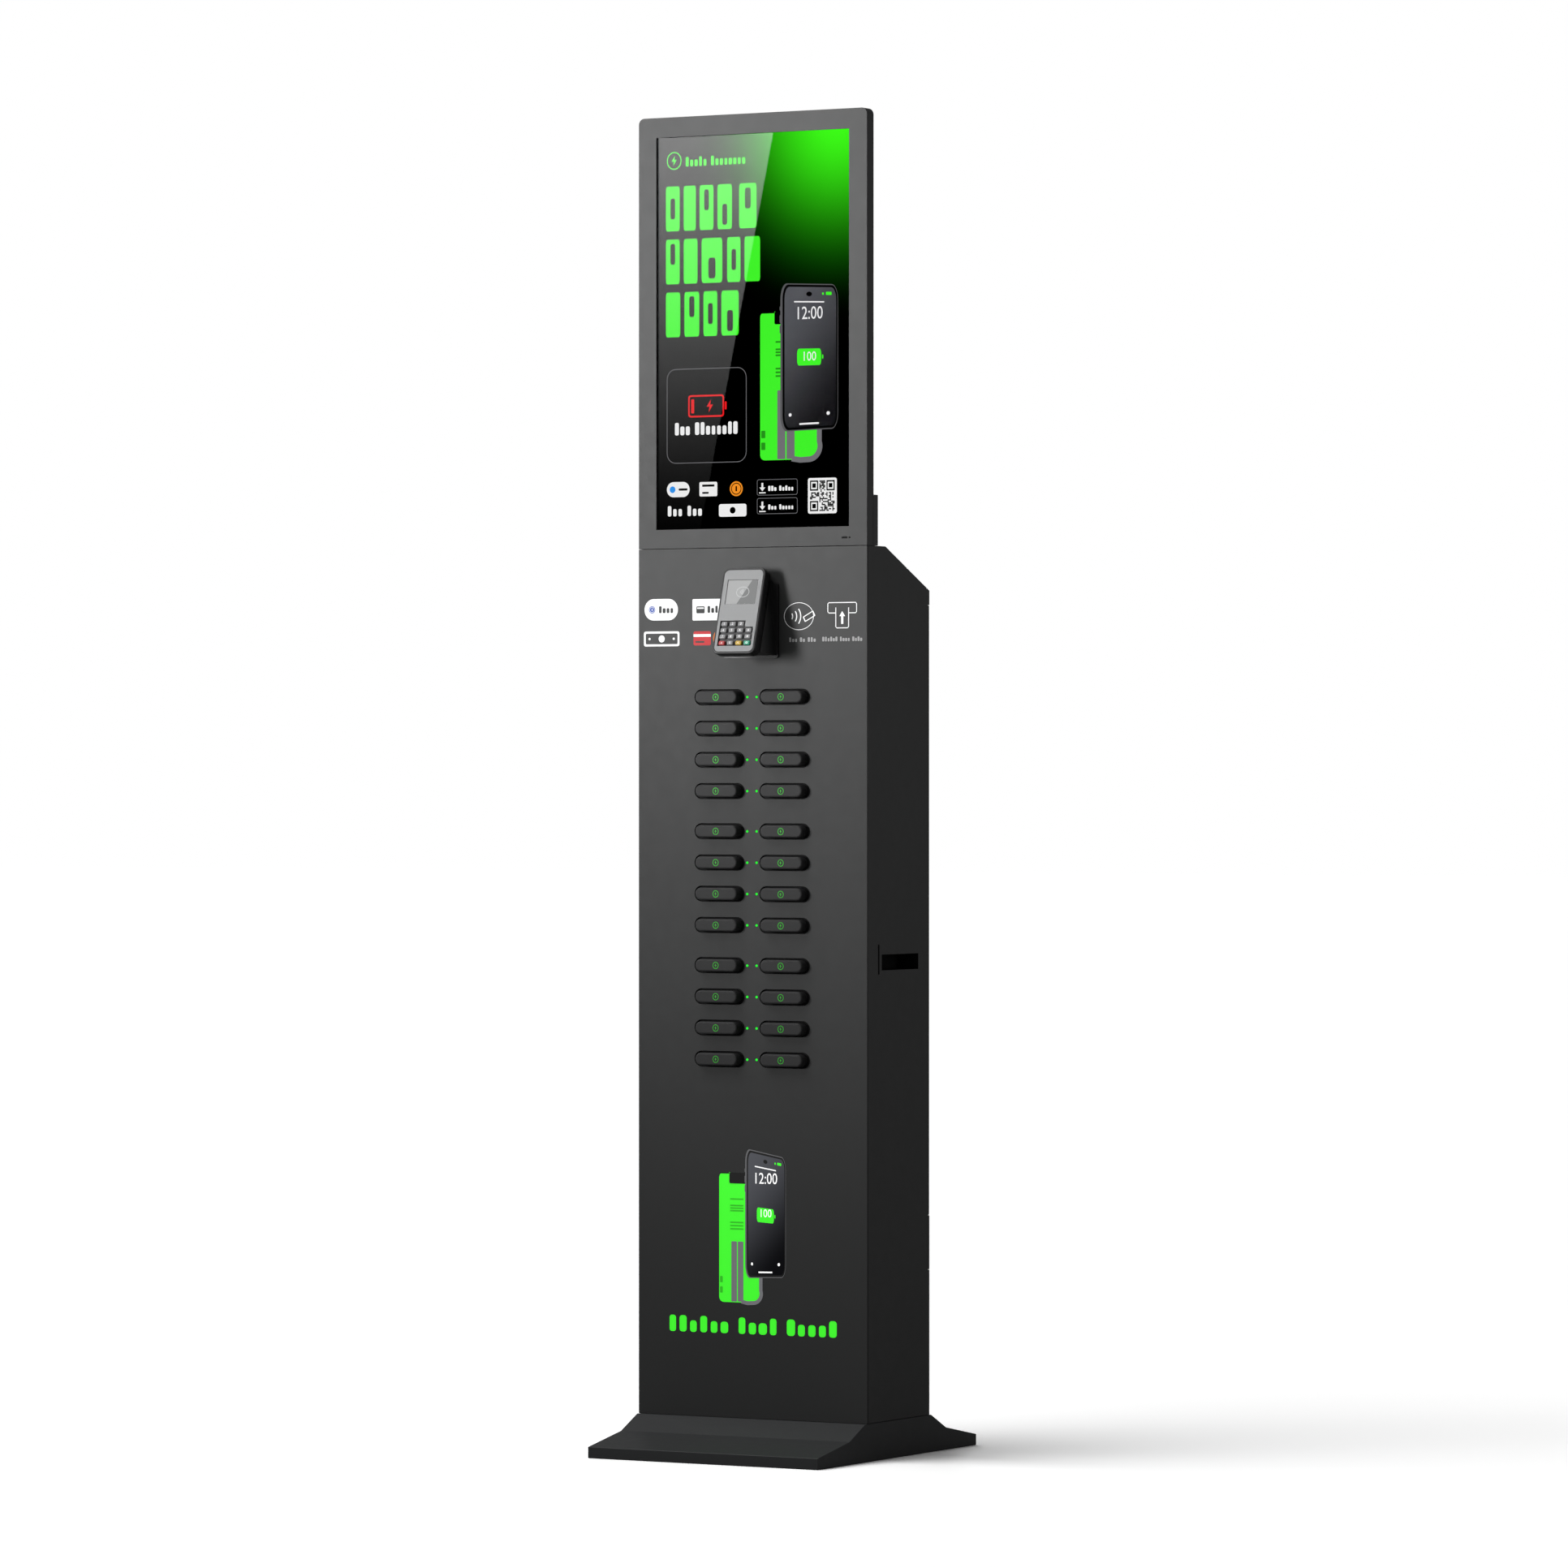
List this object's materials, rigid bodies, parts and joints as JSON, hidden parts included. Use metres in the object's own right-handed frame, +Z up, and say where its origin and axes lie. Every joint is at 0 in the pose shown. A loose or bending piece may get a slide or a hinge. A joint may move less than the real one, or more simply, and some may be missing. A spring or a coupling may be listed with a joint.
{
  "type": "phone charging kiosk",
  "caption": "Floor-standing phone charging kiosk: portrait display head over a slim cabinet with sliding rental power banks, a tilted payment terminal, a hinged rear door and a flared base.",
  "frame": {"origin": "on the floor, at the centre of the base's footprint", "axes": "+X to the right seen from the front, +Y towards the rear door, +Z up"},
  "size_m": [0.354, 0.436, 1.8],
  "materials": {
    "powder_coat": "fine satin powder coat, dark grey",
    "panel_coat": "satin powder coat, dark grey, front faces",
    "base_coat": "satin powder coat, dark grey",
    "bank_plastic": "soft-touch moulded plastic, black",
    "module_plastic": "moulded plastic, black",
    "screen_glass": "clear tempered glass",
    "terminal_glass": "clear window over a lit grey display",
    "lcd_metal": "pressed tray, satin",
    "supply_metal": "zinc-plated box, satin",
    "terminal_black": "fine-grained moulded plastic, black",
    "terminal_grey": "satin moulded plastic, mid grey",
    "key_grey": "moulded key, light grey",
    "key_red": "moulded key with red mark",
    "key_yellow": "moulded key with yellow mark",
    "key_green": "moulded key with green mark",
    "circuit_board": "solder-masked board, green",
    "lock_chrome": "bright plated",
    "switch_black": "moulded plastic, black",
    "led_green": "lit green light pipe",
    "screen_image": "lit picture behind the display glass",
    "decal_print": "printed vinyl graphics, white and green",
    "fastener_metal": "blackened screw heads",
    "cable_black": "black cable jacket"
  },
  "bodies": {
    "cabinet": {"base_plinth": "base_coat", "cabinet_shell": "powder_coat", "front_panel": "panel_coat", "slot_module_upper": "module_plastic", "slot_module_middle": "module_plastic", "slot_module_lower": "module_plastic", "display_frame": "panel_coat", "display_glass": "screen_glass", "lcd_panel": "lcd_metal", "display_rear_cover": "powder_coat", "display_mount_box": "powder_coat", "terminal_bracket": "terminal_black", "terminal_body": "terminal_black", "terminal_faceplate": "terminal_grey", "terminal_screen": "terminal_glass", "inlet_panel": "powder_coat", "power_supply": "supply_metal", "controller_board": "circuit_board"},
    "power_bank_left_01": {"power_bank_left_01": "bank_plastic"},
    "power_bank_left_02": {"power_bank_left_02": "bank_plastic"},
    "power_bank_left_03": {"power_bank_left_03": "bank_plastic"},
    "power_bank_left_04": {"power_bank_left_04": "bank_plastic"},
    "power_bank_left_05": {"power_bank_left_05": "bank_plastic"},
    "power_bank_left_06": {"power_bank_left_06": "bank_plastic"},
    "power_bank_left_07": {"power_bank_left_07": "bank_plastic"},
    "power_bank_left_08": {"power_bank_left_08": "bank_plastic"},
    "power_bank_left_09": {"power_bank_left_09": "bank_plastic"},
    "power_bank_left_10": {"power_bank_left_10": "bank_plastic"},
    "power_bank_left_11": {"power_bank_left_11": "bank_plastic"},
    "power_bank_left_12": {"power_bank_left_12": "bank_plastic"},
    "power_bank_right_01": {"power_bank_right_01": "bank_plastic"},
    "power_bank_right_02": {"power_bank_right_02": "bank_plastic"},
    "power_bank_right_03": {"power_bank_right_03": "bank_plastic"},
    "power_bank_right_04": {"power_bank_right_04": "bank_plastic"},
    "power_bank_right_05": {"power_bank_right_05": "bank_plastic"},
    "power_bank_right_06": {"power_bank_right_06": "bank_plastic"},
    "power_bank_right_07": {"power_bank_right_07": "bank_plastic"},
    "power_bank_right_08": {"power_bank_right_08": "bank_plastic"},
    "power_bank_right_09": {"power_bank_right_09": "bank_plastic"},
    "power_bank_right_10": {"power_bank_right_10": "bank_plastic"},
    "power_bank_right_11": {"power_bank_right_11": "bank_plastic"},
    "power_bank_right_12": {"power_bank_right_12": "bank_plastic"},
    "key_1": {"key_1": "key_grey"},
    "key_2": {"key_2": "key_grey"},
    "key_3": {"key_3": "key_grey"},
    "key_4": {"key_4": "key_grey"},
    "key_5": {"key_5": "key_grey"},
    "key_6": {"key_6": "key_grey"},
    "key_menu": {"key_menu": "key_grey"},
    "key_7": {"key_7": "key_grey"},
    "key_8": {"key_8": "key_grey"},
    "key_9": {"key_9": "key_grey"},
    "key_alpha": {"key_alpha": "key_grey"},
    "key_cancel": {"key_cancel": "key_red"},
    "key_0": {"key_0": "key_grey"},
    "key_clear": {"key_clear": "key_yellow"},
    "key_enter": {"key_enter": "key_green"},
    "rear_door": {"rear_door": "powder_coat"},
    "door_lock": {"door_lock": "lock_chrome"},
    "rocker_switch": {"rocker_switch": "switch_black"}
  },
  "joints": [
    {"name": "door_swing", "type": "hinge", "parent": "cabinet", "child": "rear_door", "pos_m": [-0.1567, 0.09, 0.731], "axis": [0, 0, 1], "range_deg": [0, 115]},
    {"name": "door_lock_turn", "type": "hinge", "parent": "rear_door", "child": "door_lock", "pos_m": [0.14, 0.08, 0.731], "axis": [0, 1, 0], "range_deg": [0, 90]},
    {"name": "inlet_switch_rock", "type": "hinge", "parent": "cabinet", "child": "rocker_switch", "pos_m": [-0.02, 0.0815, 0.2835], "axis": [-1, 0, 0], "range_deg": [0, 16]},
    {"name": "key_1_press", "type": "slide", "parent": "cabinet", "child": "key_1", "axis": [0, 0.9613, -0.2756], "range_m": [0, 0.001], "stiffness_N_per_m": 1200},
    {"name": "key_2_press", "type": "slide", "parent": "cabinet", "child": "key_2", "axis": [0, 0.9613, -0.2756], "range_m": [0, 0.001], "stiffness_N_per_m": 1200},
    {"name": "key_3_press", "type": "slide", "parent": "cabinet", "child": "key_3", "axis": [0, 0.9613, -0.2756], "range_m": [0, 0.001], "stiffness_N_per_m": 1200},
    {"name": "key_4_press", "type": "slide", "parent": "cabinet", "child": "key_4", "axis": [0, 0.9613, -0.2756], "range_m": [0, 0.001], "stiffness_N_per_m": 1200},
    {"name": "key_5_press", "type": "slide", "parent": "cabinet", "child": "key_5", "axis": [0, 0.9613, -0.2756], "range_m": [0, 0.001], "stiffness_N_per_m": 1200},
    {"name": "key_6_press", "type": "slide", "parent": "cabinet", "child": "key_6", "axis": [0, 0.9613, -0.2756], "range_m": [0, 0.001], "stiffness_N_per_m": 1200},
    {"name": "key_menu_press", "type": "slide", "parent": "cabinet", "child": "key_menu", "axis": [0, 0.9613, -0.2756], "range_m": [0, 0.001], "stiffness_N_per_m": 1200},
    {"name": "key_7_press", "type": "slide", "parent": "cabinet", "child": "key_7", "axis": [0, 0.9613, -0.2756], "range_m": [0, 0.001], "stiffness_N_per_m": 1200},
    {"name": "key_8_press", "type": "slide", "parent": "cabinet", "child": "key_8", "axis": [0, 0.9613, -0.2756], "range_m": [0, 0.001], "stiffness_N_per_m": 1200},
    {"name": "key_9_press", "type": "slide", "parent": "cabinet", "child": "key_9", "axis": [0, 0.9613, -0.2756], "range_m": [0, 0.001], "stiffness_N_per_m": 1200},
    {"name": "key_alpha_press", "type": "slide", "parent": "cabinet", "child": "key_alpha", "axis": [0, 0.9613, -0.2756], "range_m": [0, 0.001], "stiffness_N_per_m": 1200},
    {"name": "key_cancel_press", "type": "slide", "parent": "cabinet", "child": "key_cancel", "axis": [0, 0.9613, -0.2756], "range_m": [0, 0.001], "stiffness_N_per_m": 1200},
    {"name": "key_0_press", "type": "slide", "parent": "cabinet", "child": "key_0", "axis": [0, 0.9613, -0.2756], "range_m": [0, 0.001], "stiffness_N_per_m": 1200},
    {"name": "key_clear_press", "type": "slide", "parent": "cabinet", "child": "key_clear", "axis": [0, 0.9613, -0.2756], "range_m": [0, 0.001], "stiffness_N_per_m": 1200},
    {"name": "key_enter_press", "type": "slide", "parent": "cabinet", "child": "key_enter", "axis": [0, 0.9613, -0.2756], "range_m": [0, 0.001], "stiffness_N_per_m": 1200},
    {"name": "power_bank_left_01_slide", "type": "slide", "parent": "cabinet", "child": "power_bank_left_01", "axis": [0, -1, 0], "range_m": [0, 0.16]},
    {"name": "power_bank_left_02_slide", "type": "slide", "parent": "cabinet", "child": "power_bank_left_02", "axis": [0, -1, 0], "range_m": [0, 0.16]},
    {"name": "power_bank_left_03_slide", "type": "slide", "parent": "cabinet", "child": "power_bank_left_03", "axis": [0, -1, 0], "range_m": [0, 0.16]},
    {"name": "power_bank_left_04_slide", "type": "slide", "parent": "cabinet", "child": "power_bank_left_04", "axis": [0, -1, 0], "range_m": [0, 0.16]},
    {"name": "power_bank_left_05_slide", "type": "slide", "parent": "cabinet", "child": "power_bank_left_05", "axis": [0, -1, 0], "range_m": [0, 0.16]},
    {"name": "power_bank_left_06_slide", "type": "slide", "parent": "cabinet", "child": "power_bank_left_06", "axis": [0, -1, 0], "range_m": [0, 0.16]},
    {"name": "power_bank_left_07_slide", "type": "slide", "parent": "cabinet", "child": "power_bank_left_07", "axis": [0, -1, 0], "range_m": [0, 0.16]},
    {"name": "power_bank_left_08_slide", "type": "slide", "parent": "cabinet", "child": "power_bank_left_08", "axis": [0, -1, 0], "range_m": [0, 0.16]},
    {"name": "power_bank_left_09_slide", "type": "slide", "parent": "cabinet", "child": "power_bank_left_09", "axis": [0, -1, 0], "range_m": [0, 0.16]},
    {"name": "power_bank_left_10_slide", "type": "slide", "parent": "cabinet", "child": "power_bank_left_10", "axis": [0, -1, 0], "range_m": [0, 0.16]},
    {"name": "power_bank_left_11_slide", "type": "slide", "parent": "cabinet", "child": "power_bank_left_11", "axis": [0, -1, 0], "range_m": [0, 0.16]},
    {"name": "power_bank_left_12_slide", "type": "slide", "parent": "cabinet", "child": "power_bank_left_12", "axis": [0, -1, 0], "range_m": [0, 0.16]},
    {"name": "power_bank_right_01_slide", "type": "slide", "parent": "cabinet", "child": "power_bank_right_01", "axis": [0, -1, 0], "range_m": [0, 0.16]},
    {"name": "power_bank_right_02_slide", "type": "slide", "parent": "cabinet", "child": "power_bank_right_02", "axis": [0, -1, 0], "range_m": [0, 0.16]},
    {"name": "power_bank_right_03_slide", "type": "slide", "parent": "cabinet", "child": "power_bank_right_03", "axis": [0, -1, 0], "range_m": [0, 0.16]},
    {"name": "power_bank_right_04_slide", "type": "slide", "parent": "cabinet", "child": "power_bank_right_04", "axis": [0, -1, 0], "range_m": [0, 0.16]},
    {"name": "power_bank_right_05_slide", "type": "slide", "parent": "cabinet", "child": "power_bank_right_05", "axis": [0, -1, 0], "range_m": [0, 0.16]},
    {"name": "power_bank_right_06_slide", "type": "slide", "parent": "cabinet", "child": "power_bank_right_06", "axis": [0, -1, 0], "range_m": [0, 0.16]},
    {"name": "power_bank_right_07_slide", "type": "slide", "parent": "cabinet", "child": "power_bank_right_07", "axis": [0, -1, 0], "range_m": [0, 0.16]},
    {"name": "power_bank_right_08_slide", "type": "slide", "parent": "cabinet", "child": "power_bank_right_08", "axis": [0, -1, 0], "range_m": [0, 0.16]},
    {"name": "power_bank_right_09_slide", "type": "slide", "parent": "cabinet", "child": "power_bank_right_09", "axis": [0, -1, 0], "range_m": [0, 0.16]},
    {"name": "power_bank_right_10_slide", "type": "slide", "parent": "cabinet", "child": "power_bank_right_10", "axis": [0, -1, 0], "range_m": [0, 0.16]},
    {"name": "power_bank_right_11_slide", "type": "slide", "parent": "cabinet", "child": "power_bank_right_11", "axis": [0, -1, 0], "range_m": [0, 0.16]},
    {"name": "power_bank_right_12_slide", "type": "slide", "parent": "cabinet", "child": "power_bank_right_12", "axis": [0, -1, 0], "range_m": [0, 0.16]}
  ]
}
